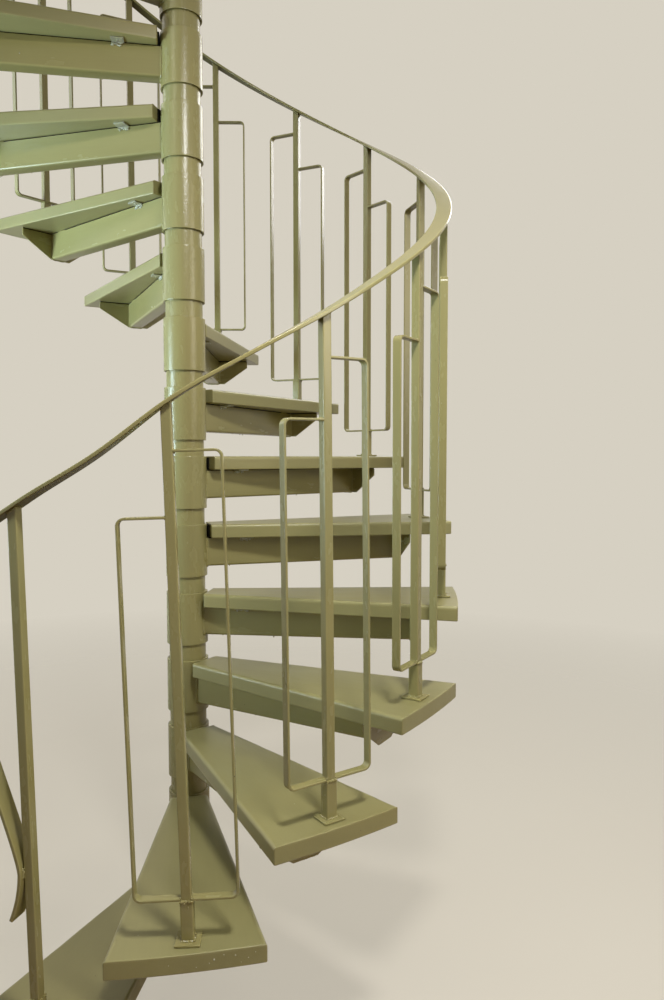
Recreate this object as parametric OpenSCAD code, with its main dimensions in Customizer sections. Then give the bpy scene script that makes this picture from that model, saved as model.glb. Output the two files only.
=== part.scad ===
// Spiral staircase: a floor-fixed centre column with fourteen bracketed treads,
// a baluster on every tread and one flat handrail wound round them.
// Millimetres, +Z up. The origin is on the underside of the floor plate, on the column's axis.

/* [Flight] */
// Number of treads
tread_count = 14; // [6:1:14]
// Height of one step
riser = 190; // [170:1:205]
// Turn from one tread to the next, in degrees
step_angle = 24.5; // [22:0.5:30]
// Direction of the lowest tread, in degrees from +X
first_angle = -115; // [-180:1:180]

/* [Column] */
// Outer diameter of the column tube
tube_d = 101.6; // [90:0.1:110]
// Wall of the column tube
tube_wall = 5; // [4:0.5:8]
// Outer diameter of the sleeve that carries a bracket
sleeve_d = 114.3; // [112:0.1:130]
// Height of a sleeve
sleeve_h = 145; // [120:1:160]
// How far the column stands above the highest tread
column_above = 950; // [300:10:1200]
// Diameter of the floor plate
plate_d = 280; // [220:10:360]
// Thickness of the floor plate
plate_t = 12; // [8:1:20]
// Pitch circle of the anchor holes
anchor_pcd = 220; // [180:5:300]
// Diameter of an anchor hole
anchor_d = 14; // [10:1:18]
// Number of anchor holes
anchor_count = 4; // [3:1:8]

/* [Treads] */
// Distance from the axis to the middle of a tread's outer end
tread_reach = 756; // [650:1:900]
// How far the outer end bows out in its middle
tread_bow = 5.5; // [1:0.5:16]
// Radius of a tread's corners, seen from above
tread_corner = 3; // [1:0.5:20]
// Distance from the axis to the inner end of a tread
tread_start = 62; // [60:1:70]
// Width of a tread at its outer end
tread_outer_w = 312; // [280:1:340]
// Width of a tread at its inner end
tread_inner_w = 104; // [90:1:120]
// Thickness of a tread
tread_t = 38; // [30:1:45]
// Rounding along the top of a tread's two sides
tread_round = 7; // [3:0.5:9]
// Rounding of a tread's lower edges
tread_under_round = 3; // [1:0.5:4]
// Rounding along the top of a tread's ends
tread_end_round = 2; // [0.5:0.5:3]

/* [Brackets] */
// Outside width of the folded channel
channel_w = 46; // [40:1:70]
// Depth of the folded channel
channel_h = 79; // [60:1:90]
// Gap between the channel and the board, bridged by the seat plate and the tabs
seat_t = 3; // [2:0.5:5]
// Thickness of the folded sheet
sheet_t = 4; // [3:0.5:5]
// Outside radius of the channel's bottom folds
fold_r = 7; // [5:0.5:10]
// Distance from the axis to the outer face of the end plate
end_plate_reach = 634; // [560:1:700]
// Width of the end plate at its top
end_plate_w = 244; // [200:1:290]
// Width of the end plate at its bottom
end_plate_foot = 64; // [50:1:120]
// How far the end plate's bottom is off the channel's middle, towards the step below
end_plate_skew = 8; // [0:1:12]
// Height of the end plate at its tips
end_plate_tip = 21; // [10:1:40]

/* [Balusters] */
// Distance from the axis to the middle of the posts
post_reach = 712; // [600:1:730]
// How far a post stands off its tread's middle, towards the step below
post_side = 8; // [0:1:20]
// Turn of the second post about its own axis, in degrees
second_post_turn = -7; // [-10:1:10]
// Side of the square bar that makes a post
post_w = 20; // [16:1:24]
// Side of the square tube stub that the post stands in
stub_w = 25; // [25:1:32]
// Height of the stub above the tread
stub_h = 85; // [50:1:120]
// Side of the base plate
foot_w = 50; // [45:1:60]
// Thickness of the base plate
foot_t = 5; // [4:1:8]
// Distance from the post to the middle of each leg of the bent bar
leg_offset = 101; // [80:1:120]
// Width of the bent bar, along the radius
bar_w = 20; // [15:1:30]
// Thickness of the bent bar
bar_t = 5; // [4:0.5:8]
// Inside radius of the bends in the bar
bend_r = 11; // [8:1:20]
// Distance from the handrail's underside to the top of the bent bar
bar_below_rail = 135; // [90:1:200]
// How far the feet of the lowest posts are moved towards the step above
foot_shift = [12, 12, 8, 2];
// Lean of the lowest posts towards the step below, in degrees
post_lean = [1.6, 1.7, 0.6, 0.2];

/* [Handrail] */
// Height of the handrail's underside above each tread, at the post
rail_height = 1035; // [850:5:1100]
// Width of the flat handrail bar
rail_w = 40; // [30:1:60]
// Thickness of the flat handrail bar
rail_t = 8; // [6:1:12]
// Turn of the handrail past the highest post, in degrees
rail_overrun = 7; // [3:1:12]
// How far the handrail, bent by hand, lies above an even climb, at each half step from the first post
rail_lift = [12, 6, 25, 20, 11, 8, 4, 1];

/* [Hidden] */
$fn = 48;
eps = 0.2;
screw_hole = 5;
function two_digits(n) = n < 10 ? str("0", n) : str(n);
function numbered(stem) = [for (i = [1:tread_count]) str(stem, "_", two_digits(i))];

sage = [0.59, 0.57, 0.41];
sage_board = [0.60, 0.58, 0.43];

// Top of tread i, where tread 1 is the lowest
function tread_top(i) = riser * i;
function tread_angle(i) = first_angle + step_angle * (i - 1);
function post_angle(i) = tread_angle(i) - asin(post_side / post_reach);
column_top = tread_top(tread_count) + column_above;
// Rise of the handrail along its own circle, as an angle
step_arc = post_reach * step_angle * PI / 180;
rail_slope = atan(riser / step_arc);
rail_mid = rail_height + rail_t / 2 / cos(rail_slope);

// Value for post i, and 0 for the posts above those in the list
function of_post(list, i) = i <= len(list) ? list[i - 1] : 0;

// Lift of the handrail at t steps from the first post, on a smooth curve through rail_lift
function lift_knot(k) = k >= len(rail_lift) ? 0 : rail_lift[max(k, 0)];
function lift(t) =
    let (k = floor(2 * t), f = 2 * t - k,
         a = lift_knot(k - 1), b = lift_knot(k), c = lift_knot(k + 1), d = lift_knot(k + 2))
    b + (c - a) * f / 2 + (2 * a - 5 * b + 4 * c - d) * f * f / 2 + (3 * b - a - 3 * c + d) * pow(f, 3) / 2;
function slope_at(t) = atan((riser + (lift(t + 0.05) - lift(t - 0.05)) / 0.1) / step_arc);

// Puts a piece that is drawn along +X on tread i, with Z = 0 at the tread's top
module at_tread(i, angle) {
    rotate([0, 0, angle])
        translate([0, 0, tread_top(i)])
            children();
}

module floor_plate() {
    color(sage)
    difference() {
        cylinder(h = plate_t, d = plate_d);
        for (k = [0:anchor_count - 1])
            rotate([0, 0, (k + 0.5) * 360 / anchor_count])
                translate([anchor_pcd / 2, 0, -1])
                    cylinder(h = plate_t + 2, d = anchor_d);
    }
}

module column() {
    color(sage)
    translate([0, 0, plate_t])
        difference() {
            cylinder(h = column_top - plate_t, d = tube_d);
            translate([0, 0, -1])
                cylinder(h = column_top - plate_t + 2, d = tube_d - 2 * tube_wall);
        }
}

// Low turned cap that closes the top of the tube
module column_cap() {
    rim = 6;
    crown = 9;
    color(sage)
    translate([0, 0, column_top])
        rotate_extrude()
            polygon(concat(
                [[0, 0], [tube_d / 2 + 1, 0], [tube_d / 2 + 1, rim]],
                [for (a = [15:15:90])
                    [(tube_d / 2 + 1) * cos(a), rim + crown * sin(a)]]));
}

// On an edge rounded with radius r, how far the surface has dropped where it is moved in by d
function drop(d, r) = d >= r ? 0 : r - sqrt(r * r - pow(r - d, 2));

// Tread board seen from above, drawn along +X, with its sides and ends moved in.
// The outer end is a flat arc, and the corners are rounded.
module board_outline(side_in, end_in) {
    end_r = (pow(tread_outer_w / 2, 2) + pow(tread_bow, 2)) / (2 * tread_bow);
    slope = (tread_outer_w - tread_inner_w) / 2 / (tread_reach - tread_bow - tread_start);
    side_w = side_in * sqrt(1 + slope * slope);
    inner = tread_inner_w / 2 + slope * end_in - side_w;
    outer = tread_outer_w / 2 - slope * end_in - side_w;
    end_arc = [for (t = [-1:0.5:1])
        [tread_reach - end_in - end_r + sqrt(end_r * end_r - pow(outer * t, 2)), outer * t]];
    offset(r = tread_corner, $fn = 16)
        offset(delta = -tread_corner)
            polygon(concat([[tread_start + end_in, -inner]], end_arc, [[tread_start + end_in, inner]]));
}

module tread(i) {
    color(sage_board)
    at_tread(i, tread_angle(i))
        translate([0, 0, -tread_t])
            hull()
                for (d = [tread_round, tread_round * 0.5, tread_round * 0.15, 0]) {
                    top = drop(d, tread_round);
                    under = drop(d, tread_under_round);
                    translate([0, 0, under])
                        linear_extrude(tread_t - top - under)
                            board_outline(d, drop(top, tread_end_round));
                }
}

// Rectangle of half-width w that hangs down from Z = 0, with its lower corners rounded
module folded_outline(w, depth, r) {
    translate([-w, r - depth])
        square([2 * w, depth - r]);
    translate([r - w, -depth])
        square([2 * (w - r), r + eps]);
    for (side = [-1, 1])
        translate([side * (w - r), r - depth])
            circle(r);
}

// Folded channel section in Y and Z, open at the top, with Z = 0 at its top edge
module channel_section() {
    difference() {
        folded_outline(channel_w / 2, channel_h, fold_r);
        translate([0, 1])
            folded_outline(channel_w / 2 - sheet_t, channel_h - sheet_t + 1, fold_r - sheet_t);
    }
}

module along_x(from, to) {
    translate([from, 0, 0])
        rotate([90, 0, 90])
            linear_extrude(to - from)
                children();
}

// Tab welded on top of one channel side, that a screw passes through into the board,
// with Z = 0 at the board's underside
module board_clip(x, side) {
    clip_l = 34;
    reach = 20;
    mirror([0, side < 0 ? 1 : 0, 0])
        translate([x, channel_w / 2, -seat_t])
            difference() {
                translate([0, -sheet_t, 0])
                    cube([clip_l, sheet_t + reach, seat_t]);
                translate([clip_l / 2, reach / 2, -1])
                    cylinder(h = seat_t + 2, d = screw_hole, $fn = 24);
            }
}

// Six-cornered end plate in Y and Z, with Z = 0 at its top edge
module end_plate_outline() {
    tip = end_plate_w / 2;
    right = -end_plate_skew - end_plate_foot / 2;
    left = -end_plate_skew + end_plate_foot / 2;
    polygon([[-tip, 0], [tip, 0], [tip, -end_plate_tip], [left, -channel_h],
        [right, -channel_h], [-tip, -end_plate_tip]]);
}

// Plate across the channel's top, near its outer end, that the board is screwed to
module seat_plate() {
    seat_l = 40;
    translate([end_plate_reach - 2 * seat_l, -channel_w / 2, -seat_t])
        difference() {
            cube([seat_l, channel_w, seat_t]);
            translate([seat_l / 2, channel_w / 2, -1])
                cylinder(h = seat_t + 2, d = screw_hole, $fn = 24);
        }
}

module bracket(i) {
    tube_r = tube_d / 2;
    clip_x = 148;
    color(sage)
    at_tread(i, tread_angle(i))
        difference() {
            union() {
                translate([0, 0, -sleeve_h])
                    cylinder(h = sleeve_h, d = sleeve_d);
                translate([0, 0, -tread_t - seat_t]) {
                    along_x(tube_r - 3, end_plate_reach - sheet_t)
                        channel_section();
                    along_x(end_plate_reach - sheet_t, end_plate_reach)
                        end_plate_outline();
                }
                translate([0, 0, -tread_t]) {
                    seat_plate();
                    board_clip(clip_x, 1);
                    board_clip(clip_x, -1);
                }
            }
            translate([0, 0, -sleeve_h - 1])
                cylinder(h = sleeve_h + 2, r = tube_r);
        }
}

// One side of the bent bar: out from the post, up the leg and back to the post.
// Drawn in Y and Z with the bar's width along X.
module bent_side(side, low, high) {
    inner = post_w / 2 - 1;
    turn = bend_r + bar_t;
    run = leg_offset + bar_t / 2 - turn;
    mirror([0, side < 0 ? 1 : 0, 0])
    translate([-bar_w / 2, 0, 0]) {
        translate([0, inner, low])
            cube([bar_w, run - inner, bar_t]);
        translate([0, inner, high - bar_t])
            cube([bar_w, run - inner, bar_t]);
        translate([0, leg_offset - bar_t / 2, low + turn])
            cube([bar_w, bar_t, high - low - 2 * turn]);
        translate([0, run, low + turn])
            rotate([0, 90, 0])
                rotate_extrude(angle = 90)
                    translate([bend_r, 0])
                        square([bar_t, bar_w]);
        translate([0, run, high - turn])
            rotate([90, 0, 90])
                rotate_extrude(angle = 90)
                    translate([bend_r, 0])
                        square([bar_t, bar_w]);
    }
}

// A block of the given height, centred on the post
module post_block(side, height) {
    translate([-side / 2, -side / 2, 0])
        cube([side, side, height]);
}

// The lowest post has no bent bar, because the handrail's end comes back to it
module baluster(i) {
    rise = leg_offset * tan(rail_slope);
    turn = i == 2 ? second_post_turn : 0;
    shift = of_post(foot_shift, i);
    lean = of_post(post_lean, i);
    // Where the leaning post meets the rail, along the flight from the post's own line
    top = shift - rail_height * sin(lean);
    top_t = i - 1 + top / step_arc;
    top_z = rail_height + lift(top_t) + riser * top / step_arc;
    // The stub starts inside the base plate, so that it stays above the board where it leans
    sunk = 1;
    color(sage)
    at_tread(i, post_angle(i))
        translate([post_reach, 0, 0]) {
            translate([0, shift, 0])
                rotate([0, 0, turn])
                    post_block(foot_w, foot_t);
            difference() {
                translate([0, shift, 0])
                    rotate([lean, 0, 0])
                        rotate([0, 0, turn])
                            translate([0, 0, sunk]) {
                                post_block(stub_w, stub_h - sunk);
                                post_block(post_w, rail_height + 2 * post_w);
                            }
                // The post's top is cut to the slope of the rail
                translate([-post_w, top, top_z + eps])
                    rotate([slope_at(top_t), 0, 0])
                        translate([0, -2 * post_w, 0])
                            cube([2 * post_w, 4 * post_w, 4 * post_w]);
            }
            if (i > 1)
                translate([0, shift, 0])
                    rotate([lean, 0, 0])
                        rotate([0, 0, turn]) {
                            bent_side(1, stub_h, rail_height - bar_below_rail + rise);
                            bent_side(-1, stub_h, rail_height - bar_below_rail - rise);
                        }
        }
}

// Handrail: rings of a flat section with eased corners, swept along a list of stations.
// A station is [point, direction of the bar's width].
function rail_ring(p, wide, along) =
    let (n = cross(along, wide), a = rail_w / 2, b = rail_t / 2, c = 2)
    [for (q = [[a, -b + c], [a, b - c], [a - c, b], [-a + c, b],
               [-a, b - c], [-a, -b + c], [-a + c, -b], [a - c, -b]])
        p + q[0] * wide + q[1] * n];

function unit(v) = v / norm(v);

// Direction of travel at station k
function heading(s, k) =
    unit(s[min(k + 1, len(s) - 1)][0] - s[max(k - 1, 0)][0]);

function helix_station(turn) =
    let (a = post_angle(1) + turn)
    [[post_reach * cos(a), post_reach * sin(a),
      tread_top(1) + rail_mid + riser * turn / step_angle + lift(turn / step_angle)], [cos(a), sin(a), 0]];

// Point on a cubic curve with end points p0 and p3
function curve(p0, p1, p2, p3, t) =
    pow(1 - t, 3) * p0 + 3 * pow(1 - t, 2) * t * p1
    + 3 * (1 - t) * t * t * p2 + pow(t, 3) * p3;

// A point of the lower sweep, from [distance back along the flight, height above tread 1]
function sweep_station(q) =
    let (a = post_angle(1), radial = [cos(a), sin(a), 0], back = [sin(a), -cos(a), 0])
    [post_reach * radial + q[0] * back + [0, 0, tread_top(1) + q[1]], radial];

module handrail() {
    helix_step = 4;
    sweep_steps = 10;
    tail_steps = 5;
    lead = [cos(slope_at(0)), -sin(slope_at(0))];
    // Lower sweep: down and round, back to the lower face of the first post, then a short tail bent away
    meet_z = 324;
    face = post_w / 2 - foot_shift[0] + meet_z * sin(post_lean[0]);
    start = [0, rail_mid + lift(0)];
    belly = [172, 830];
    meet = [face + rail_t / 2, meet_z];
    tail = [33, 226];
    tail_rings = [for (k = [tail_steps:-1:1])
        sweep_station(curve(meet, meet - [0, 14], tail + [-20, 46], tail, k / tail_steps))];
    lower_rings = [for (k = [sweep_steps:-1:1])
        sweep_station(curve(belly, belly - [8, 131], meet + [9, 73], meet, k / sweep_steps))];
    upper_rings = [for (k = [sweep_steps:-1:1])
        sweep_station(curve(start, start + 105 * lead, belly + [8, 135], belly, k / sweep_steps))];
    last_turn = step_angle * (tread_count - 1) + rail_overrun;
    helix_rings = [for (k = [0:ceil(last_turn / helix_step)])
        helix_station(min(k * helix_step, last_turn))];
    stations = concat(tail_rings, lower_rings, upper_rings, helix_rings);
    n = len(stations);
    points = [for (k = [0:n - 1])
        each rail_ring(stations[k][0], stations[k][1], heading(stations, k))];
    sides = [for (k = [0:n - 2], j = [0:7])
        let (a = 8 * k + j, b = 8 * k + (j + 1) % 8)
        each [[a, b, b + 8], [a, b + 8, a + 8]]];
    ends = [[7, 6, 5, 4, 3, 2, 1, 0], [for (j = [0:7]) 8 * (n - 1) + j]];
    color(sage)
        polyhedron(points, concat(sides, ends), convexity = 10);
}

floor_plate();
column();
column_cap();
handrail();
for (i = [1:tread_count]) {
    tread(i);
    bracket(i);
    baluster(i);
}
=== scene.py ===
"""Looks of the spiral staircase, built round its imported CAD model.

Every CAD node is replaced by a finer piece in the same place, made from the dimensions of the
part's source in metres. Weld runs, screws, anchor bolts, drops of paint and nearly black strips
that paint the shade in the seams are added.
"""

import random
from math import asin, atan, cos, floor, pi, radians, sin, sqrt, tan

import bmesh
import bpy
from mathutils import Matrix, Vector

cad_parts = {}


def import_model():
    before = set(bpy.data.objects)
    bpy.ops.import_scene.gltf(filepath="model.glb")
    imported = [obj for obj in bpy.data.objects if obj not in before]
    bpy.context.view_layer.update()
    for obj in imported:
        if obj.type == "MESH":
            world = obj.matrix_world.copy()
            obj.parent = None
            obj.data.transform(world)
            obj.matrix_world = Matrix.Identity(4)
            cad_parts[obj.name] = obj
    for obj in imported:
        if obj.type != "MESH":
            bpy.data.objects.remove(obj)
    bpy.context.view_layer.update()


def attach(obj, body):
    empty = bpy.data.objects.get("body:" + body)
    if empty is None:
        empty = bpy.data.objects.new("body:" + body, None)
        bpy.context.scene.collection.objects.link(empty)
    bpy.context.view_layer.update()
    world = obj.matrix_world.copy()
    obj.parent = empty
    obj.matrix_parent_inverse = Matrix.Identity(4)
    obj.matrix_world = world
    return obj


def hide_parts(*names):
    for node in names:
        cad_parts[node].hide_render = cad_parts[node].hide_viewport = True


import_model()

# Dimensions of the part's source, in metres
TREAD_COUNT = 14
RISER = 0.190
STEP_ANGLE = radians(24.5)
FIRST_ANGLE = radians(-115)
TUBE_R = 0.0508
TUBE_WALL = 0.005
SLEEVE_R = 0.05715
SLEEVE_H = 0.145
COLUMN_TOP = RISER * TREAD_COUNT + 0.950
CAP_R = TUBE_R + 0.001
CAP_RIM = 0.006
CAP_CROWN = 0.009
PLATE_R = 0.140
PLATE_T = 0.012
ANCHOR_COUNT = 4
ANCHOR_PCR = 0.110
ANCHOR_HOLE_R = 0.007
BOARD_START = 0.062
BOARD_REACH = 0.756
BOARD_BOW = 0.0055
BOARD_OUTER_W = 0.312
BOARD_INNER_W = 0.104
BOARD_CORNER = 0.003
BOARD_T = 0.038
BOARD_SIDE_ROUND = 0.007
BOARD_END_ROUND = 0.0016
BOARD_UNDER_ROUND = 0.003
CHANNEL_W = 0.046
CHANNEL_H = 0.079
SHEET_T = 0.004
FOLD_R = 0.007
SEAT_T = 0.003
SEAT_L = 0.040
END_PLATE_REACH = 0.634
END_PLATE_W = 0.244
END_PLATE_FOOT = 0.064
END_PLATE_SKEW = 0.008
END_PLATE_TIP = 0.021
CLIP_START = 0.148
CLIP_LENGTH = 0.034
CLIP_REACH = 0.027
SECOND_POST_TURN = radians(-7)
# The lowest posts, from the first: feet moved towards the step above, tops leaning towards the step below
FOOT_SHIFT = (0.012, 0.012, 0.008, 0.002)
POST_LEAN = (radians(1.6), radians(1.7), radians(0.6), radians(0.2))
POST_REACH = 0.712
POST_SIDE = 0.008
POST_W = 0.020
STUB_W = 0.025
STUB_H = 0.085
# The first post's stub is shorter here than in the source
FIRST_STUB_H = 0.066
FOOT_W = 0.050
FOOT_T = 0.005
LEG_OFFSET = 0.101
BAR_W = 0.020
BAR_T = 0.005
BEND_R = 0.011
BAR_BELOW_RAIL = 0.135
RAIL_HEIGHT = 1.035
RAIL_W = 0.040
RAIL_T = 0.008
RAIL_OVERRUN = radians(7)
# How far the rail, bent by hand, lies above an even climb, at each half step from the first post
RAIL_LIFT = (0.012, 0.006, 0.025, 0.020, 0.011, 0.008, 0.004, 0.001)
STEP_ARC = POST_REACH * STEP_ANGLE
RAIL_SLOPE = atan(RISER / STEP_ARC)
RAIL_MID = RAIL_HEIGHT + RAIL_T / 2 / cos(RAIL_SLOPE)
# Height above the first tread where the lower sweep meets the post, and the post's face there
SWEEP_MEET = 0.324
SWEEP_FACE = POST_W / 2 - FOOT_SHIFT[0] + SWEEP_MEET * sin(POST_LEAN[0])
CHANNEL_TOP = -BOARD_T - SEAT_T
CHANNEL_FOOT = CHANNEL_TOP - CHANNEL_H

# Radii of the weld runs, of which a stub's rim has one on its outer and one on its inner side
COLUMN_WELD_R = 0.0042
SLEEVE_WELD_R = 0.0030
END_WELD_R = 0.0024
CLIP_WELD_R = 0.0022
FOOT_WELD_R = 0.0024
RIM_WELD_R = (0.0031, 0.0024)
BAR_WELD_R = 0.0016
RAIL_WELD_R = 0.0019
SWEEP_WELD_R = 0.0026

# Local axes in the order brush direction first
BRUSH = {"x": (0, 1, 2), "y": (1, 2, 0), "z": (2, 0, 1)}
SHARP_ANGLE = radians(38)
moved_by = Matrix.Translation
# Turns a flat drawing in X and Y to stand in Y and Z, with its height along X
STANDING = Matrix(((0, 0, 1, 0), (1, 0, 0, 0), (0, 1, 0, 0), (0, 0, 0, 1)))


def tread_angle(i):
    return FIRST_ANGLE + STEP_ANGLE * (i - 1)


def post_angle(i):
    return tread_angle(i) - asin(POST_SIDE / POST_REACH)


def add_object(name, data):
    """A new object of the scene."""
    added = bpy.data.objects.new(name, data)
    bpy.context.scene.collection.objects.link(added)
    return added


def of_post(values, i):
    """The value for post i, and 0 for the posts above those listed."""
    return values[i - 1] if i <= len(values) else 0


def lift(t):
    """Lift of the handrail at t steps from the first post, on a smooth curve through RAIL_LIFT."""
    k = floor(2 * t)
    f = 2 * t - k
    a, b, c, d = [RAIL_LIFT[max(j, 0)] if j < len(RAIL_LIFT) else 0 for j in (k - 1, k, k + 1, k + 2)]
    bend = (2 * a - 5 * b + 4 * c - d) * f * f + (3 * b - a - 3 * c + d) * f ** 3
    return b + ((c - a) * f + bend) / 2


def slope_at(t):
    return atan((RISER + (lift(t + 0.05) - lift(t - 0.05)) / 0.1) / STEP_ARC)


def at_tread(i, angle):
    """The frame of tread i: X away from the column, Z = 0 on the tread's top."""
    return moved_by((0, 0, RISER * i)) @ Matrix.Rotation(angle, 4, "Z")


def quarter(steps):
    """The angles of a quarter turn in equal steps."""
    return [pi / 2 * k / steps for k in range(steps + 1)]


# Outlines: flat lists of points, counterclockwise

def rounded(corners, radius, steps=5):
    """The outline of a polygon with rounded corners, steps to a quarter turn."""
    outline = []
    for k, corner in enumerate(corners):
        here = Vector(corner)
        back = (Vector(corners[k - 1]) - here).normalized()
        on = (Vector(corners[(k + 1) % len(corners)]) - here).normalized()
        half = back.angle(on) / 2
        centre = here + (back + on).normalized() * radius / sin(half)
        start = here + back * radius / tan(half) - centre
        turn = pi - 2 * half
        count = max(1, round(steps * turn / (pi / 2)))
        outline += [centre + Matrix.Rotation(turn * s / count, 2) @ start for s in range(count + 1)]
    return outline


def rectangle(width, height, radius, steps=3):
    a = width / 2
    b = height / 2
    return rounded([(-a, -b), (a, -b), (a, b), (-a, b)], radius, steps)


def inset(outline, distance):
    """The outline moved inwards, with as many points."""
    moved = []
    for k, point in enumerate(outline):
        before = (point - outline[k - 1]).normalized()
        after = (outline[(k + 1) % len(outline)] - point).normalized()
        out = Vector((-before.y - after.y, before.x + after.x)).normalized()
        reach = max(0.5, out.dot(Vector((-before.y, before.x))))
        moved.append(point + out * distance / reach)
    return moved


def parts_of(outline, spacing):
    """How many parts of about the given length each stretch of the outline has."""
    return [max(1, round((outline[(k + 1) % len(outline)] - point).length / spacing))
            for k, point in enumerate(outline)]


def divided(outline, parts):
    """The outline with each stretch divided into its number of equal parts."""
    result = []
    for k, (point, count) in enumerate(zip(outline, parts)):
        on = outline[(k + 1) % len(outline)]
        result += [point.lerp(on, s / count) for s in range(count)]
    return result


def circle(radius, count):
    return [Vector((radius * cos(2 * pi * k / count), radius * sin(2 * pi * k / count)))
            for k in range(count)]


class Shape:
    """The faces of one piece, gathered in the piece's own frame.

    Each vertex has a grain coordinate, whose first axis runs along the brush marks, an edge value,
    which is 1 where the surface turns over an edge and the paint gets a painted highlight, and a skin
    value, which is the strength of the paint's orange peel and 0 where the paint gets painted shade
    and almost no sheen.
    """

    def __init__(self, seed):
        self.random = random.Random(seed)
        self.draw = self.random.uniform
        self.verts = []
        self.grain = []
        self.edge = []
        self.skin = []
        self.faces = []
        self.fills = []

    def tube(self, rings, edges, brush="x", grain=None, wrap=False, caps=True):
        """Joins rings of points, all of one length. edges has a value for each ring, or a list."""
        first = len(self.verts)
        count = len(rings[0])
        for k, ring in enumerate(rings):
            for j, point in enumerate(ring):
                self.verts.append(Vector(point))
                self.grain.append(grain[k][j] if grain else [point[a] for a in BRUSH[brush]])
                self.edge.append(edges[k] if isinstance(edges[k], (int, float)) else edges[k][j])
        for k in range(len(rings) if wrap else len(rings) - 1):
            a = first + k * count
            b = first + (k + 1) % len(rings) * count
            for j in range(count):
                i = (j + 1) % count
                self.faces.append((a + j, a + i, b + i, b + j))
        if caps and not wrap:
            end = first + (len(rings) - 1) * count
            self.faces.append([first + j for j in reversed(range(count))])
            self.faces.append([end + j for j in range(count)])
        return first

    def prism(self, outline, low, high, round_low, round_high, margin, place=Matrix(), brush="x",
              caps=True, steps=4):
        """A plate of the given outline from height low to high, with its edges rounded."""
        levels = [(round_low + margin, low, 0)] if caps else []
        levels += [(round_low * (1 - sin(a)), low + round_low * (1 - cos(a)), 1) for a in quarter(steps)]
        levels += [(0, low + round_low + margin, 0), (0, high - round_high - margin, 0)]
        levels += [(round_high * (1 - cos(a)), high - round_high * (1 - sin(a)), 1) for a in quarter(steps)]
        levels += [(round_high + margin, high, 0)] if caps else []
        rings = [[place @ Vector((*p, z)) for p in inset(outline, d)] for d, z, _ in levels]
        return self.tube(rings, [e for _, _, e in levels], brush, caps=caps)

    def turned(self, profile, segments, wrap=True, place=Matrix()):
        """Turns a profile of (radius, height, edge) round Z. A wrapped profile is a closed loop."""
        rings = [[place @ Vector((*p, z)) for p in circle(r, segments)] for r, z, _ in profile]
        self.tube(rings, [e for _, _, e in profile], "z", wrap=wrap)

    def swept(self, width, height, radius, stations, soft_ends=0.0, steps=3):
        """A bar of rounded rectangular section along stations of (point, width axis, height axis)."""
        margin = min(0.0025, (min(width, height) / 2 - radius) * 0.7)
        distance = 0.0
        rings = []
        grain = []
        edges = []
        shift = self.draw(0, 5)
        spans = [(stations[k + 1][0] - stations[k][0]).length for k in range(len(stations) - 1)]
        total = sum(spans)
        for k, (point, wide, tall) in enumerate(stations):
            near = min(distance, total - distance)
            drop = 0.0
            if near < soft_ends:
                drop = soft_ends - sqrt(soft_ends ** 2 - (soft_ends - near) ** 2)
            section = bar_section(width, height, radius, margin, steps, drop)
            rings.append([point + wide * a + tall * b for a, b, _ in section])
            grain.append([(distance + shift, a, b) for a, b, _ in section])
            edges.append([1 if near < soft_ends else edge for *_, edge in section])
            distance += spans[k] if k < len(spans) else 0
        self.tube(rings, edges, grain=grain)

    def bead(self, path, radius, closed=False, lumps=0.0):
        """A painted weld run: a rippled rope along path, half sunk in the corner that it fills."""
        step = 0.0012
        ripple = 0.0034
        # Slower swells and the lumps of a hand-made run, in radians per metre
        swell_rate = 300
        lump_rates = (900, 1370)
        points = resampled(path, step)
        last = len(points) - 1
        waves = [self.draw(0, 2 * pi) for _ in range(4)]
        side = None
        rings = []
        for k, point in enumerate(points):
            ahead = points[(k + 1) % len(points) if closed else min(k + 1, last)]
            behind = points[k - 1 if closed else max(k - 1, 0)]
            along = (ahead - behind).normalized()
            if side is None:
                side = along.orthogonal()
            side = (side - along * side.dot(along)).normalized()
            other = along.cross(side)
            s = step * k
            swell = 1 + 0.13 * sin(2 * pi * s / ripple + waves[0]) + 0.10 * sin(swell_rate * s + waves[1])
            swell += lumps * (sin(lump_rates[0] * s + waves[2]) + sin(lump_rates[1] * s + waves[3])) / 2
            if not closed:
                left = min(k, last - k) * step
                swell *= sqrt(min(1, 0.15 + left / radius))
            rings.append([point + (side * cos(a) + other * sin(a)) * radius * swell
                          for a in (2 * pi * j / 8 for j in range(8))])
        self.tube(rings, [0.4] * len(rings), wrap=closed)

    def blob(self, point, radius):
        """A bead of weld spatter under paint: a squashed ball, turned at random."""
        tall = radius * self.draw(0.65, 1.0)
        lean = Matrix.Rotation(self.draw(0, pi), 4, "X")
        lean = lean @ Matrix.Rotation(self.draw(0, pi), 4, "Y")
        wide = Matrix.Diagonal((1, self.draw(0.7, 1.25), 1, 1))
        profile = [(radius * sin(a), -tall * cos(a), 0.3) for a in (pi * (k + 0.5) / 8 for k in range(8))]
        self.turned(profile, 12, wrap=False, place=moved_by(point) @ lean @ wide)

    def run_drop(self, point, radius, length):
        """A dried drop of paint that hangs under an edge."""
        profile = [(radius * 0.45, 0.0015, 0), (radius * 0.9, 0.0004, 0), (radius, -length * 0.25, 0),
                   (radius * 0.95, -length * 0.55, 0), (radius * 0.62, -length * 0.85, 0),
                   (radius * 0.2, -length, 0)]
        self.turned(profile, 10, wrap=False, place=moved_by(point))

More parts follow.
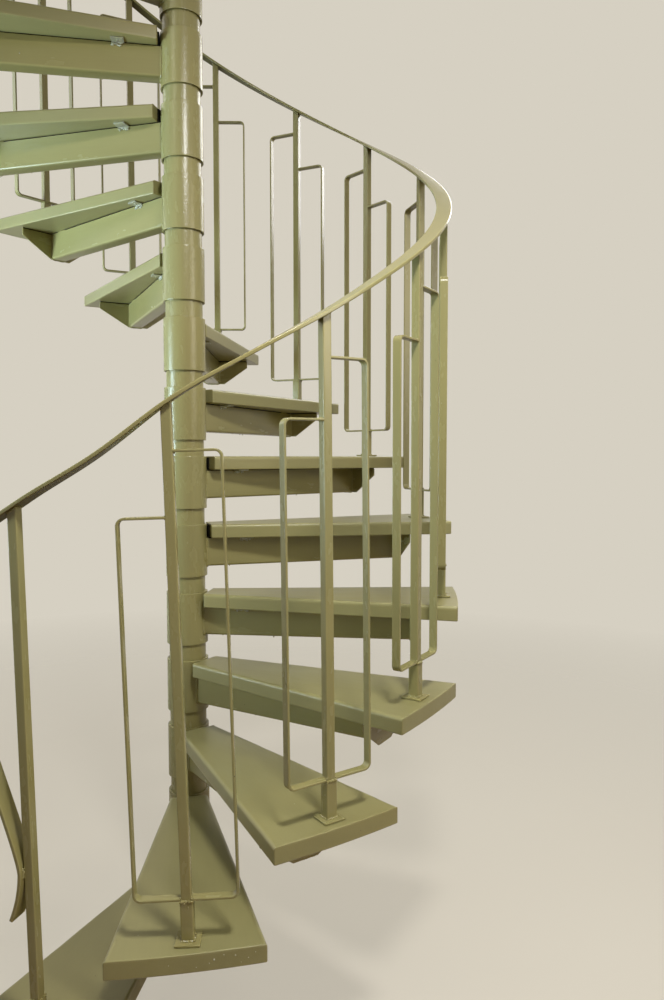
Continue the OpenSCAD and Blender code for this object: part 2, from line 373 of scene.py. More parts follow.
    def build(self, name, material, place=Matrix(), node=None):
        """Makes the Blender object. It rides on the root body and may replace a CAD node."""
        mesh = bpy.data.meshes.new(name)
        mesh.from_pydata([place @ v for v in self.verts], [], self.faces)
        shift = [self.draw(0, 20) for _ in range(3)]
        shifted = [a + b for g in self.grain for a, b in zip(g, shift)]
        skin = self.skin + [1.0] * (len(self.verts) - len(self.skin))
        mesh.attributes.new("grain", "FLOAT_VECTOR", "POINT").data.foreach_set("vector", shifted)
        mesh.attributes.new("edge", "FLOAT", "POINT").data.foreach_set("value", self.edge)
        mesh.attributes.new("skin", "FLOAT", "POINT").data.foreach_set("value", skin)
        work = bmesh.new()
        work.from_mesh(mesh)
        work.verts.ensure_lookup_table()
        for loops in self.fills:
            edges = [work.edges.get((work.verts[loop[k - 1]], work.verts[loop[k]]))
                     for loop in loops for k in range(len(loop))]
            bmesh.ops.triangle_fill(work, use_beauty=True, edges=edges)
        bmesh.ops.recalc_face_normals(work, faces=work.faces)
        for face in work.faces:
            face.smooth = True
        work.to_mesh(mesh)
        work.free()
        mesh.set_sharp_from_angle(angle=SHARP_ANGLE)
        mesh.materials.append(material)
        piece = add_object(name, mesh)
        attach(piece, "root")
        if node:
            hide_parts(node)


def bar_section(width, height, radius, margin, steps, drop):
    """Points of a rounded rectangle as (a, b, edge), with flat points just off each corner."""
    section = []
    reach = (width / 2 - radius, height / 2 - radius)
    for corner, (x, y) in enumerate(((1, 1), (-1, 1), (-1, -1), (1, -1))):
        start = corner * pi / 2
        turned = [(reach[0] * x + (radius - drop) * cos(start + a),
                   reach[1] * y + (radius - drop) * sin(start + a), 1) for a in quarter(steps)]
        before = (turned[0][0] + margin * sin(start), turned[0][1] - margin * cos(start), 0)
        after = (turned[-1][0] - margin * cos(start), turned[-1][1] - margin * sin(start), 0)
        section += [before, *turned, after]
    return section


def resampled(path, step):
    """Points along a path at equal steps."""
    result = [Vector(path[0])]
    left = step
    for a, b in zip(path, path[1:]):
        start = Vector(a)
        span = (Vector(b) - start).length
        while left <= span:
            result.append(start.lerp(Vector(b), left / span))
            left += step
        left -= span
    return result


# Materials

class Nodes:
    """Short calls for building a node tree."""

    def __init__(self, owner):
        owner.use_nodes = True
        self.owner = owner
        self.tree = owner.node_tree
        self.tree.nodes.clear()

    def add(self, kind, settings=None, **inputs):
        """A node. An input is a number, a colour or another node's output, by socket name."""
        node = self.tree.nodes.new("ShaderNode" + kind)
        for key, value in (settings or {}).items():
            setattr(node, key, value)
        for key, value in inputs.items():
            self.put(node.inputs[key.replace("_", " ")], value)
        return node

    def put(self, socket, value):
        if isinstance(value, bpy.types.NodeSocket):
            self.tree.links.new(value, socket)
        else:
            socket.default_value = value

    def fill(self, node, *values):
        """Sets the node's first inputs, and gives its first output."""
        for socket, value in zip(node.inputs, values):
            self.put(socket, value)
        return node.outputs[0]

    def attribute(self, name, output="Fac"):
        return self.add("Attribute", {"attribute_name": name}).outputs[output]

    def math(self, operation, *values):
        """Runs an operation along two or more values."""
        result = values[0]
        for value in values[1:]:
            result = self.fill(self.add("Math", {"operation": operation}), result, value)
        return result

    def spread(self, value, low, high, start=0.0, end=1.0):
        """Maps value from low..high to start..end, clamped."""
        node = self.add("MapRange", Value=value, From_Min=low, From_Max=high, To_Min=start, To_Max=end)
        return node.outputs[0]

    def noise(self, place, stretch, scale, detail=2.0, roughness=0.5):
        """Noise in the grain frame, drawn out by stretch along the brush marks."""
        mapping = self.add("Mapping", Vector=place, Scale=(1 / stretch, 1, 1))
        node = self.add("TexNoise", Vector=mapping.outputs[0], Scale=scale, Detail=detail,
                        Roughness=roughness)
        return node.outputs[0]

    def blend(self, share, first, second):
        """A colour from first, at share 0, to second, at share 1."""
        node = self.add("Mix", {"data_type": "RGBA"})
        self.put(node.inputs[0], share)
        for socket, colour in ((6, first), (7, second)):
            given = colour if isinstance(colour, bpy.types.NodeSocket) else (*colour, 1)
            self.put(node.inputs[socket], given)
        return node.outputs[2]

    def mix(self, share, first, second):
        """A shader from first, at share 0, to second, at share 1."""
        return self.fill(self.add("MixShader"), share, first, second)

    def bump(self, height):
        """The normals of a skin whose height is in metres."""
        return self.add("Bump", Strength=1.0, Distance=1.0, Height=height).outputs[0]

    def finish(self, kind, shader):
        """Links the shader to the output of a Material or a World."""
        self.put(self.add("Output" + kind).inputs["Surface"], shader)

    def surface(self, **inputs):
        """Ends a material with one Principled shader, and gives the material."""
        self.finish("Material", self.add("BsdfPrincipled", **inputs).outputs[0])
        return self.owner


def srgb(red, green, blue):
    """A colour given as it looks on a screen, from 0 to 255, in linear light."""
    values = [c / 255 for c in (red, green, blue)]
    return [c / 12.92 if c <= 0.04045 else ((c + 0.055) / 1.055) ** 2.4 for c in values]


# Most noise values lie between these
NOISE_RANGE = (0.3, 0.7)
# The normal's Z on a face that looks down, and on one that no longer does: the painted shade below fades
# between them
DOWN_RANGE = (-0.82, -0.6)
TONE_DRIFT = 0.05
TONE_STREAK = 0.012
# Paler tone where the edge value is 1: a painted highlight on rounded edges, weaker on welds
EDGE_HIGHLIGHT = 0.08
EDGE_GLOSS = -0.03
SHEEN = 0.5
# Tone and sheen where skin is 0, as shares of the full ones: painted shade and a cut reflection
END_SHADE_TONE = 0.75
END_SHADE_SHEEN = 0.05
COOL_PATCH = (0.965, 1.0, 1.06)
NIB_SHARE = 0.035
NIB_CELLS = 70.0
NIB_SIZE = 0.075
NIB_HEIGHT = 0.0004
DARK_NIB = srgb(70, 66, 48)
PALE_NIB = srgb(206, 202, 178)


def nibs(n, grain, base):
    """Few tiny specks caught in the paint. Gives the colour with them, and where they are."""
    cells = n.add("TexVoronoi", Vector=grain, Scale=NIB_CELLS)
    pick = n.add("SeparateColor", Color=cells.outputs["Color"])
    rare = n.math("GREATER_THAN", pick.outputs[0], 1 - NIB_SHARE)
    dot = n.math("MULTIPLY", n.math("LESS_THAN", cells.outputs["Distance"], NIB_SIZE), rare)
    speck = n.blend(n.math("GREATER_THAN", pick.outputs[1], 0.45), DARK_NIB, PALE_NIB)
    return n.blend(n.math("MULTIPLY", dot, 0.7), base, speck), dot


def paint(name, colour, roughness, peel, brush, wave, painted_shade_below=1.0):
    """Semi-gloss paint put on by brush: tone drifts, brush marks, orange peel, nibs, and paler edges
    as a painted highlight.

    peel, brush and wave are the heights of those marks in metres. Faces that look down get painted
    shade: their tone is multiplied by the last argument, and their sheen is cut along with it.
    """
    n = Nodes(bpy.data.materials.new(name))
    grain = n.attribute("grain", "Vector")
    edge = n.attribute("edge")
    skin = n.attribute("skin")
    drift = n.noise(grain, stretch=1.5, scale=5.0, detail=3.0)
    cloud = n.noise(grain, stretch=3.0, scale=38.0, detail=3.0, roughness=0.6)
    marks = n.noise(grain, stretch=22.0, scale=640.0, detail=3.0, roughness=0.65)
    broad = n.noise(grain, stretch=16.0, scale=190.0)
    dimples = n.noise(grain, stretch=1.3, scale=230.0, detail=1.5)
    swell = n.noise(grain, stretch=2.5, scale=26.0)
    patches = n.noise(grain, stretch=1.0, scale=2.3, detail=1.0)
    normal = n.add("NewGeometry").outputs["Normal"]
    facing = n.add("SeparateXYZ", Vector=normal).outputs["Z"]

    # Tone: slow drift and thin streaks; paler edges as painted highlight; darker below, and darker
    # where skin is 0, as painted shade
    tone = n.math("ADD", n.spread(drift, *NOISE_RANGE, 1 - TONE_DRIFT, 1 + TONE_DRIFT),
                  n.spread(cloud, *NOISE_RANGE, -TONE_STREAK, TONE_STREAK),
                  n.spread(broad, *NOISE_RANGE, -TONE_STREAK, TONE_STREAK),
                  n.math("MULTIPLY", edge, EDGE_HIGHLIGHT))
    tone = n.math("MULTIPLY", tone, n.spread(facing, *DOWN_RANGE, painted_shade_below, 1.0),
                  n.spread(skin, 0.0, 1.0, END_SHADE_TONE, 1.0))
    sheen = n.math("MULTIPLY", n.spread(facing, *DOWN_RANGE, SHEEN * painted_shade_below ** 5, SHEEN),
                   n.spread(skin, 0.0, 1.0, END_SHADE_SHEEN, 1.0))
    # Hue: cooler patches
    cool = [a * b for a, b in zip(colour, COOL_PATCH)]
    hue = n.blend(n.spread(patches, 0.35, 0.65), colour, cool)
    base = n.add("VectorMath", {"operation": "SCALE"}, Vector=hue, Scale=tone).outputs[0]
    specked, dot = nibs(n, grain, base)

    # Height of the paint skin
    height = n.math("ADD", n.math("MULTIPLY", dimples, skin, peel), n.math("MULTIPLY", marks, brush),
                    n.math("MULTIPLY", broad, brush * 1.5), n.math("MULTIPLY", swell, wave),
                    n.math("MULTIPLY", dot, NIB_HEIGHT))
    gloss = n.math("ADD", n.spread(cloud, 0.25, 0.75, roughness - 0.02, roughness + 0.03),
                   n.math("MULTIPLY", edge, EDGE_GLOSS))
    return n.surface(Base_Color=specked, Roughness=gloss, Specular_IOR_Level=sheen, Normal=n.bump(height))


def zinc(name, paint_colour, painted):
    """Dull zinc-plated steel with a thin, patchy coat of paint, more of it as painted rises."""
    n = Nodes(bpy.data.materials.new(name))
    grain = n.attribute("grain", "Vector")
    patch = n.noise(grain, stretch=1.0, scale=150.0, detail=4.0, roughness=0.65)
    fine = n.noise(grain, stretch=6.0, scale=900.0)
    cover = n.spread(patch, 0.62 - painted * 0.3, 0.66 - painted * 0.3)
    metal = n.blend(n.spread(fine, *NOISE_RANGE), srgb(168, 168, 158), srgb(196, 196, 184))
    height = n.math("ADD", n.math("MULTIPLY", patch, 0.0003), n.math("MULTIPLY", fine, 0.00006))
    return n.surface(Base_Color=n.blend(cover, metal, paint_colour), Normal=n.bump(height),
                     Metallic=n.spread(cover, 0, 1, 0.75, 0.0), Roughness=n.spread(cover, 0, 1, 0.42, 0.5))


def shade_strip(name):
    """Nearly black, matte stuff with a short nap, that paints the shade in the seams."""
    n = Nodes(bpy.data.materials.new(name))
    nap = n.noise(n.attribute("grain", "Vector"), stretch=2.0, scale=1400.0, detail=3.0, roughness=0.7)
    colour = n.blend(nap, srgb(16, 14, 10), srgb(30, 27, 20))
    return n.surface(Base_Color=colour, Roughness=0.95, Specular_IOR_Level=0.1,
                     Normal=n.bump(n.math("MULTIPLY", nap, 0.0003)))


# Strength of the orange peel on the column and its sleeves
COLUMN_SKIN = 6.0
SAGE = srgb(153, 144, 92)
SAGE_BOARD = srgb(151, 143, 94)
# Steel and rail are darker on faces that look down, as painted shade
steel_paint = paint("sage_steel_paint", SAGE, roughness=0.26, peel=0.00010, brush=0.00001,
                    wave=0.00005, painted_shade_below=0.8)
rail_paint = paint("sage_rail_paint", SAGE, roughness=0.22, peel=0.00006, brush=0.00001,
                   wave=0.0002, painted_shade_below=0.5)
board_paint = paint("sage_board_paint", SAGE_BOARD, roughness=0.36, peel=0.00012, brush=0.00004,
                    wave=0.0006)
fleck_paint = paint("pale_fleck_paint", srgb(200, 197, 176), roughness=0.35, peel=0.0001, brush=0.0,
                    wave=0.0)
clip_metal = zinc("thinly_painted_zinc", srgb(176, 174, 142), painted=0.45)
bolt_metal = zinc("bare_zinc", SAGE, painted=0.0)
# Nearly black strips in the seams are painted shade
seam_shade = shade_strip("painted_shade_strip")


# Column

def column():
    """The centre tube and the weld run round its foot."""
    shape = Shape(1)
    inner = TUBE_R - TUBE_WALL
    turn = 0.0008
    loop = [(inner, PLATE_T, 0), (TUBE_R, PLATE_T, 0), (TUBE_R, COLUMN_TOP - turn, 0),
            (TUBE_R - turn, COLUMN_TOP, 1), (inner, COLUMN_TOP, 1)]
    shape.turned(loop, 128)
    shape.skin = [COLUMN_SKIN] * len(shape.verts)
    shape.build("column_tube", steel_paint, node="column")
    weld = Shape(2)
    ring = [(*p, PLATE_T + 0.001) for p in circle(TUBE_R + 0.001, 160)]
    weld.bead(ring, COLUMN_WELD_R, closed=True)
    weld.build("column_foot_weld", steel_paint)


def column_cap():
    """The low cap turned over the tube's top."""
    shape = Shape(3)
    edge = 0.0012
    crown = [(CAP_R * cos(a), CAP_RIM + CAP_CROWN * sin(a), 0.3 if a > 0.3 else 1)
             for a in quarter(16)[1:-1]]
    profile = [(CAP_R * 0.5, 0, 0), (CAP_R - edge, 0, 1), (CAP_R - edge * 0.3, edge * 0.3, 1),
               (CAP_R, edge, 1), (CAP_R, CAP_RIM - edge, 0), *crown]
    shape.turned([(r, COLUMN_TOP + z, e) for r, z, e in profile], 96, wrap=False)
    shape.build("column_top_cap", steel_paint, node="column_cap")


def anchor_place(k):
    """Where anchor k stands on the floor, counted from 0."""
    angle = (k + 0.5) * 2 * pi / ANCHOR_COUNT
    return moved_by((ANCHOR_PCR * cos(angle), ANCHOR_PCR * sin(angle), 0))


def floor_plate():
    """Round plate with its anchor holes, whose faces are filled between the rims."""
    shape = Shape(4)
    count = 128
    hole_count = 28
    ease = 0.0006
    rims = [shape.prism(circle(PLATE_R, count), 0, PLATE_T, round_low=0.0004, round_high=0.0012,
                        margin=0.001, caps=False)]
    lasts = [len(shape.verts) - count]
    for k in range(ANCHOR_COUNT):
        loop = [(ANCHOR_HOLE_R + ease, 0, 1), (ANCHOR_HOLE_R, ease, 0),
                (ANCHOR_HOLE_R, PLATE_T - ease, 0), (ANCHOR_HOLE_R + ease, PLATE_T, 1)]
        first = len(shape.verts)
        rings = [[anchor_place(k) @ Vector((*p, z)) for p in circle(r, hole_count)] for r, z, _ in loop]
        shape.tube(rings, [e for _, _, e in loop], caps=False)
        rims.append(first)
        lasts.append(len(shape.verts) - hole_count)
    sizes = [count] + [hole_count] * ANCHOR_COUNT
    for starts in (rims, lasts):
        shape.fills.append([[s + j for j in range(n)] for s, n in zip(starts, sizes)])
    shape.build("base_plate", steel_paint, node="floor_plate")


def anchor(k):
    """Anchor stud with its washer and nut."""
    washer_r = 0.012
    washer_hole_r = 0.0066
    washer_t = 0.0025
    nut_h = 0.0105
    nut_af = 0.019
    thread_r = 0.006
    core_r = 0.0052
    tip_r = 0.0048
    pitch = 0.00175
    turns = 5
    shape = Shape(20 + k)
    ease = 0.0003
    shape.turned([(washer_hole_r, ease, 0), (washer_r - 0.0004, 0, 1), (washer_r, ease, 1),
                  (washer_r, washer_t - ease, 1), (washer_r - 0.0004, washer_t, 1),
                  (washer_hole_r, washer_t, 1)], 40)
    corner = nut_af / sqrt(3)
    hexagon = rounded([(corner * cos(a), corner * sin(a)) for a in (pi / 3 * s for s in range(6))],
                      0.0006, 3)
    shape.prism(hexagon, washer_t, washer_t + nut_h, 0.0002, 0.0009, 0.0006)
    start = washer_t + nut_h - 0.001
    thread = [(core_r, start, 0)]
    for t in range(turns):
        thread += [(core_r, start + pitch * t, 0), (thread_r, start + pitch * (t + 0.5), 1)]
    thread += [(tip_r, start + pitch * turns, 1)]
    shape.turned(thread, 28, wrap=False)
    place = moved_by((0, 0, PLATE_T)) @ anchor_place(k) @ Matrix.Rotation(0.7 * k, 4, "Z")
    shape.build("anchor_bolt_%d" % (k + 1), bolt_metal, place=place)


# Treads

def board_outline(side_in, end_in):
    """The board seen from above, with its sides and ends moved in."""
    radius = ((BOARD_OUTER_W / 2) ** 2 + BOARD_BOW ** 2) / (2 * BOARD_BOW)
    slope = (BOARD_OUTER_W - BOARD_INNER_W) / 2 / (BOARD_REACH - BOARD_BOW - BOARD_START)
    side = side_in * sqrt(1 + slope ** 2)
    inner = BOARD_INNER_W / 2 + slope * end_in - side
    outer = BOARD_OUTER_W / 2 - slope * end_in - side
    end = [(BOARD_REACH - end_in - radius + sqrt(radius ** 2 - (outer * t) ** 2), outer * t)
           for t in (k / 4 for k in range(-4, 5))]
    start = BOARD_START + end_in
    return rounded([(start, -inner), *end, (start, inner)], BOARD_CORNER, 6)


def tread(i):
    """A board whose upper side edges are well rounded, its ends and lower edges only eased.

    It is a tube of levels (inset of the sides, inset of the ends, turn, height, edge value). Up to the
    straight sides, turn is None. From there on it is the turn round the upper edge, and the height is
    a drop below it.
    """
    shape = Shape(100 + i)
    plain = board_outline(0, 0)
    parts = parts_of(plain, 0.012)
    plain = divided(plain, parts)
    # Share of the end's rounding at each point of the outline, 0 on the sides and 1 on the ends
    shares = []
    for k, point in enumerate(plain):
        along = (plain[(k + 1) % len(plain)] - plain[k - 1]).normalized()
        shares.append(min(1, max(0, (abs(along.y) - 0.2) / 0.75)))
    waves = [(shape.draw(18, 60), shape.draw(0, 2 * pi)) for _ in range(4)]
    # Edges rounded by hand wander a little
    worn = 0.0002
    wander = 0.0011
    flat = 0.004
    painted_shade_below = BOARD_UNDER_ROUND
    levels = [(painted_shade_below + flat, painted_shade_below + flat, None, -BOARD_T, 0)]
    for a in reversed(quarter(6)):
        levels.append((painted_shade_below * (1 - cos(a)), painted_shade_below * (1 - cos(a)), None, painted_shade_below * (1 - sin(a)) - BOARD_T, 1))
    levels.append((0, 0, None, -BOARD_T + painted_shade_below + flat, 0))
    levels.append((0, 0, 0, flat, 0))
    for a in quarter(6):
        levels.append((BOARD_SIDE_ROUND * (1 - cos(a)), BOARD_END_ROUND * (1 - cos(a)), a, 0, 1))
    levels.append((BOARD_SIDE_ROUND + flat, BOARD_END_ROUND + flat, pi / 2, 0, 0))
    rings = []
    for side_in, end_in, turn, height, _ in levels:
        ring = []
        for point, share in zip(divided(board_outline(side_in, end_in), parts), shares):
            depth = BOARD_SIDE_ROUND * (1 - share) + BOARD_END_ROUND * share
            z = height
            if turn is not None:
                sway = max(0, sum(sin(f * point.x + 3 * point.y + p) for f, p in waves) / 4)
                z = -depth * (1 - sin(turn)) - height
                z -= (1 - share) * (worn + wander * sway) * sin(2 * turn) * 0.8
            ring.append(Vector((*point, z)))
        rings.append(ring)
    shape.tube(rings, [e for *_, e in levels])
    # The end towards the column gets painted shade: a darker tone and almost no sheen
    shape.skin = [0.0 if v.x < BOARD_START + 0.0008 else 1.0 for v in shape.verts]
    shape.build("board_%02d" % i, board_paint, at_tread(i, tread_angle(i)), "tread_%02d" % i)


# Brackets

def channel_line(inwards=0.0, steps=6):
    """Outside of the folded channel in Y and Z, from one top edge round to the other, or a line inwards."""
    half = CHANNEL_W / 2 - inwards
    fold = FOLD_R - inwards
    foot = CHANNEL_FOOT + inwards
    right = [(half - fold + fold * cos(a), foot + fold - fold * sin(a)) for a in quarter(steps)]
    left = [(-y, z) for y, z in reversed(right)]
    return [(half, CHANNEL_TOP), *right, *left, (-half, CHANNEL_TOP)]


def channel(shape):
    """The folded channel under a board, open at the top."""
    outside = channel_line()
    section = outside + channel_line(SHEET_T)[::-1]
    half = len(outside)
    wall_mid = (TUBE_R + SLEEVE_R) / 2
    reach = END_PLATE_REACH - SHEET_T
    rings = []
    for share in (0, 0.02, 0.25, 0.5, 0.75, 0.98, 1):
        rings.append([Vector((sqrt(wall_mid ** 2 - y * y) * (1 - share) + reach * share, y, z))
                      for y, z in section])
    folds = [1 if abs(z - CHANNEL_TOP) < 1e-6 or 0 < k < half - 1 and z < CHANNEL_FOOT + FOLD_R * 0.9 else 0
             for k, (y, z) in enumerate(section)]
    first = shape.tube(rings, [folds] * len(rings), caps=False)
    count = len(section)
    for start in (first, first + (len(rings) - 1) * count):
        for j in range(half - 1):
            shape.faces.append((start + j, start + j + 1, start + count - 2 - j, start + count - 1 - j))


def end_plate(shape):
    """The plate that closes a channel's outer end."""
    tip = END_PLATE_W / 2
    right = -END_PLATE_SKEW - END_PLATE_FOOT / 2
    left = -END_PLATE_SKEW + END_PLATE_FOOT / 2
    corners = [(-tip, CHANNEL_TOP), (-tip, CHANNEL_TOP - END_PLATE_TIP), (right, CHANNEL_FOOT),
               (left, CHANNEL_FOOT), (tip, CHANNEL_TOP - END_PLATE_TIP), (tip, CHANNEL_TOP)]
    shape.prism(rounded(corners, 0.0015, 4), END_PLATE_REACH - SHEET_T, END_PLATE_REACH,
                0.0006, 0.0006, 0.0007, STANDING, "y", steps=2)


def clip(shape, side):
    """Cut tab welded on top of one channel side, flat under the board, with a lumpy weld run."""
    draw = shape.draw
    inner = CHANNEL_W / 2 - SHEET_T + 0.0003
    outer = CHANNEL_W / 2 + CLIP_REACH
    end = CLIP_START + CLIP_LENGTH
    skew = draw(-0.0012, 0.0012)
    ends = sorted((side * inner, side * outer))
    corners = [(CLIP_START, ends[0]), (end + skew, ends[0]), (end - skew, ends[1]),
               (CLIP_START + abs(skew), ends[1])]
    shape.prism(rounded(corners, 0.0012, 3), CHANNEL_TOP - 0.0008, -BOARD_T - 0.0002,
                0.0004, 0.0003, 0.0006, steps=2)
    edge = CHANNEL_W / 2 + 0.0006
    run = [(CLIP_START + u, side * edge, CHANNEL_TOP - 0.0006)
           for u in (0.002, 0.012, 0.022, CLIP_LENGTH - 0.002)]
    shape.bead(run, CLIP_WELD_R, lumps=0.4)
    for _ in range(26):
        at = Vector((CLIP_START + draw(0.001, CLIP_LENGTH), side * (edge + 0.0002),
                     CHANNEL_TOP - draw(0.0002, 0.0085)))
        shape.blob(at, draw(0.0016, 0.0031))


def screw(shape, at):
    """Pan head with a cross recess, facing down."""
    radius = 0.0042
    rise = 0.0024
    slot = 0.0006
    slot_depth = 0.0011
    around = 40
    steps = 12
    rings = []
    for k in range(1, steps + 1):
        r = radius * k / steps
        ring = []
        for p in circle(r, around):
            dome = rise * sqrt(max(0, 1 - (r / radius) ** 2.6))
            cross = min(abs(p.x), abs(p.y)) < slot and max(abs(p.x), abs(p.y)) < radius * 0.55
            ring.append(at + Vector((p.x, p.y, -dome + (slot_depth if cross else 0))))
        rings.append(ring)
    rings.append([at + Vector((*p, 0.001)) for p in circle(radius, around)])
    shape.tube(rings, [0.5] * len(rings))


def seam(i):
    """Nearly black strips between bracket and board and between board and sleeve: painted shade,
    seen as the dark seam under the board and at its inner end.
    """
    shape = Shape(700 + i)
    low = CHANNEL_TOP - 0.0002
    high = -BOARD_T - 0.0001
    ease = 0.0003

    def strip(centre, size, bottom, top, brush="x"):
        shape.prism(rectangle(*size, 0.0004, 1), bottom, top, ease, ease, ease,
                    moved_by((*centre, 0)), brush, steps=1)

    thick = SHEET_T - 0.0016
    start = SLEEVE_R + 0.003
    length = END_PLATE_REACH - SHEET_T - start
    for side in (-1, 1):
        strip((start + length / 2, side * (CHANNEL_W - SHEET_T) / 2), (length, thick), low, high)
    strip((END_PLATE_REACH - SHEET_T / 2, 0), (thick, END_PLATE_W - 0.003), low, high, "y")
    # The dark filling between sleeve and board, painted shade for the gap, reaches slightly into both
    gap = BOARD_START - SLEEVE_R
    strip((SLEEVE_R + gap / 2 + 0.0004, 0), (gap + 0.0006, BOARD_INNER_W - 0.056), -BOARD_T + 0.001, -0.004,
          "y")
    shape.build("shade_seam_%02d" % i, seam_shade, at_tread(i, tread_angle(i)))


def channel_weld(shape, reach, radius):
    """Weld run round the outside of the channel. reach gives its distance from the axis at each Y."""
    shape.bead([(reach(y), y, z) for y, z in channel_line(steps=8)], radius, lumps=0.1)


def bracket_frame(i):
    """Sleeve, channel, end plate and seat plate in one piece."""
    shape = Shape(200 + i)
    turn = 0.0006
    # The lower rim stands off the tube by a narrow gap
    gap = 0.0014
    gap_h = 0.009
    rim = -SLEEVE_H
    sleeve = [(TUBE_R, rim + 0.010, 0), (TUBE_R + gap, rim + gap_h, 0), (TUBE_R + gap, rim + turn, 0),
              (TUBE_R + gap + turn, rim, 0), (SLEEVE_R - turn, rim, 0.5),
              (SLEEVE_R - turn * 0.3, rim + turn * 0.3, 1), (SLEEVE_R, rim + turn, 1),
              (SLEEVE_R, rim + 4 * turn, 0), (SLEEVE_R, -4 * turn, 0), (SLEEVE_R, -turn, 1),
              (SLEEVE_R - turn * 0.3, -turn * 0.3, 0), (SLEEVE_R - turn, 0, 0), (TUBE_R + turn, 0, 0),
              (TUBE_R, -turn, 0)]
    shape.turned(sleeve, 128)
    shape.skin = [COLUMN_SKIN] * len(shape.verts)
    channel(shape)
    end_plate(shape)
    seat = moved_by((END_PLATE_REACH - 1.5 * SEAT_L, 0, 0))
    shape.prism(rectangle(SEAT_L, CHANNEL_W, 0.001, 2), CHANNEL_TOP, -BOARD_T, 0.0003, 0.0003, 0.0004, seat,
                steps=1)
    shape.build("bracket_frame_%02d" % i, steel_paint, at_tread(i, tread_angle(i)), "bracket_%02d" % i)


def bracket_weld(i):
    """Weld runs at both ends of the channel, and drops of paint under it."""
    weld = Shape(300 + i)
    draw = weld.draw
    channel_weld(weld, lambda y: sqrt((SLEEVE_R + 0.0006) ** 2 - y * y), SLEEVE_WELD_R)
    channel_weld(weld, lambda y: END_PLATE_REACH - SHEET_T - 0.0004, END_WELD_R)
    for _ in range(weld.random.randint(2, 4)):
        u = draw(0.10, 0.60)
        v = weld.random.choice((-1, 1)) * draw(0.014, 0.020)
        size = draw(0.0010, 0.0020)
        weld.run_drop((u, v, CHANNEL_FOOT + 0.0006), size, size * draw(1.2, 2.4))
    weld.build("bracket_weld_%02d" % i, steel_paint, at_tread(i, tread_angle(i)))


def board_clips(i):
    """The two clips of a board with their screws."""
    shape = Shape(400 + i)
    for side in (-1, 1):
        clip(shape, side)
        hole = Vector((CLIP_START + CLIP_LENGTH / 2, side * (CHANNEL_W + CLIP_REACH) / 2, CHANNEL_TOP))
        screw(shape, hole)
    shape.build("board_clips_%02d" % i, clip_metal, at_tread(i, tread_angle(i)))


# Balusters

def stub_height(i):
    return STUB_H if i > 1 else FIRST_STUB_H


def bar_top(side):
    """Height of the bent bar's upper end, which follows the flight on either side of the post."""
    return RAIL_HEIGHT - BAR_BELOW_RAIL + side * LEG_OFFSET * tan(RAIL_SLOPE)


def bent_bar(shape, side, low, high):
    """One side of the bent bar: out from the post, up the leg and back. Drawn at X = 0."""
    middle = BEND_R + BAR_T / 2
    inner = POST_W / 2 - 0.001
    bottom = low + BAR_T / 2
    top = high - BAR_T / 2
    path = [(inner, bottom, 0)]
    path += [(LEG_OFFSET - middle + middle * sin(a), bottom + middle - middle * cos(a), a)
             for a in quarter(10)]
    path += [(LEG_OFFSET - middle + middle * cos(a), top - middle + middle * sin(a), pi / 2 + a)
             for a in quarter(10)]
    path += [(inner, top, pi)]
    stations = [(Vector((0, side * y, z)), Vector((1, 0, 0)), Vector((0, -side * sin(a), cos(a))))
                for y, z, a in path]
    shape.swept(BAR_W, BAR_T, 0.0011, stations)


def square_loop(side, height):
    """Path round a square post at a height."""
    loop = rectangle(side, side, 0.0025, 3)
    return [(p.x, p.y, height) for p in [*loop, loop[0]]]


def post_turn(i):
    return Matrix.Rotation(SECOND_POST_TURN if i == 2 else 0, 4, "Z")


def post_stance(i):
    """How post i stands: its place, its tilt, and a function for where it meets the handrail."""
    shift = of_post(FOOT_SHIFT, i)
    lean = of_post(POST_LEAN, i)
    tilt = Matrix.Rotation(lean, 4, "X") @ post_turn(i)
    # Where the post meets the rail, along the flight from its own line
    top = shift - RAIL_HEIGHT * sin(lean)
    top_t = i - 1 + top / STEP_ARC
    steep = tan(slope_at(top_t))

    def at_rail(x, y, height):
        """The point on the post's edge through (x, y) where it meets the rail's plane at a height."""
        foot = tilt @ Vector((x, y, 0))
        up = tilt @ Vector((0, 0, 1))
        level = height + lift(top_t) + RISER * top / STEP_ARC + (foot.y + shift - top) * steep
        return foot + up * (level - foot.z) / (up.z - up.y * steep)

    place = at_tread(i, post_angle(i)) @ moved_by((POST_REACH, shift, 0))
    return place, tilt, at_rail


def post(i):
    """Foot plate, stub, square post cut to the handrail's underside, and the bent bar."""
    place, tilt, at_rail = post_stance(i)
    stub = stub_height(i)
    shape = Shape(500 + i)
    # The foot plate stands off the board by a dark seam
    stand_off = 0.0010
    recess = 0.005
    shape.prism(rectangle(FOOT_W, FOOT_W, 0.0015), stand_off, FOOT_T, 0.0005, 0.0009, 0.0006, steps=3)
    shape.prism(rectangle(FOOT_W - recess, FOOT_W - recess, 0.0010), 0, stand_off + 0.0006,
                0.0002, 0.0002, 0.0003, steps=1)
    turn = post_turn(i)
    shape.verts = [turn @ v for v in shape.verts]
    upright = len(shape.verts)
    # The post starts inside the stub
    stub_levels = (FOOT_T - 0.001, 0.03, stub - 0.0011, stub - 0.0008, stub - 0.0003, stub)
    post_levels = (stub - 0.004, 0.3, 0.6, 0.9, RAIL_HEIGHT)
    for width, ease, levels in ((STUB_W, 0.0022, stub_levels), (POST_W, 0.0016, post_levels)):
        shape.swept(width, width, ease, [(Vector((0, 0, z)), Vector((1, 0, 0)), Vector((0, 1, 0)))
                                         for z in levels])
    if i > 1:
        for side in (1, -1):
            bent_bar(shape, side, stub, bar_top(side))
    for k in range(upright, len(shape.verts)):
        point = shape.verts[k]
        on_top = point.z > RAIL_HEIGHT - 0.001
        shape.verts[k] = at_rail(point.x, point.y, RAIL_MID) if on_top else tilt @ point
    shape.build("post_%02d" % i, steel_paint, place, "baluster_%02d" % i)


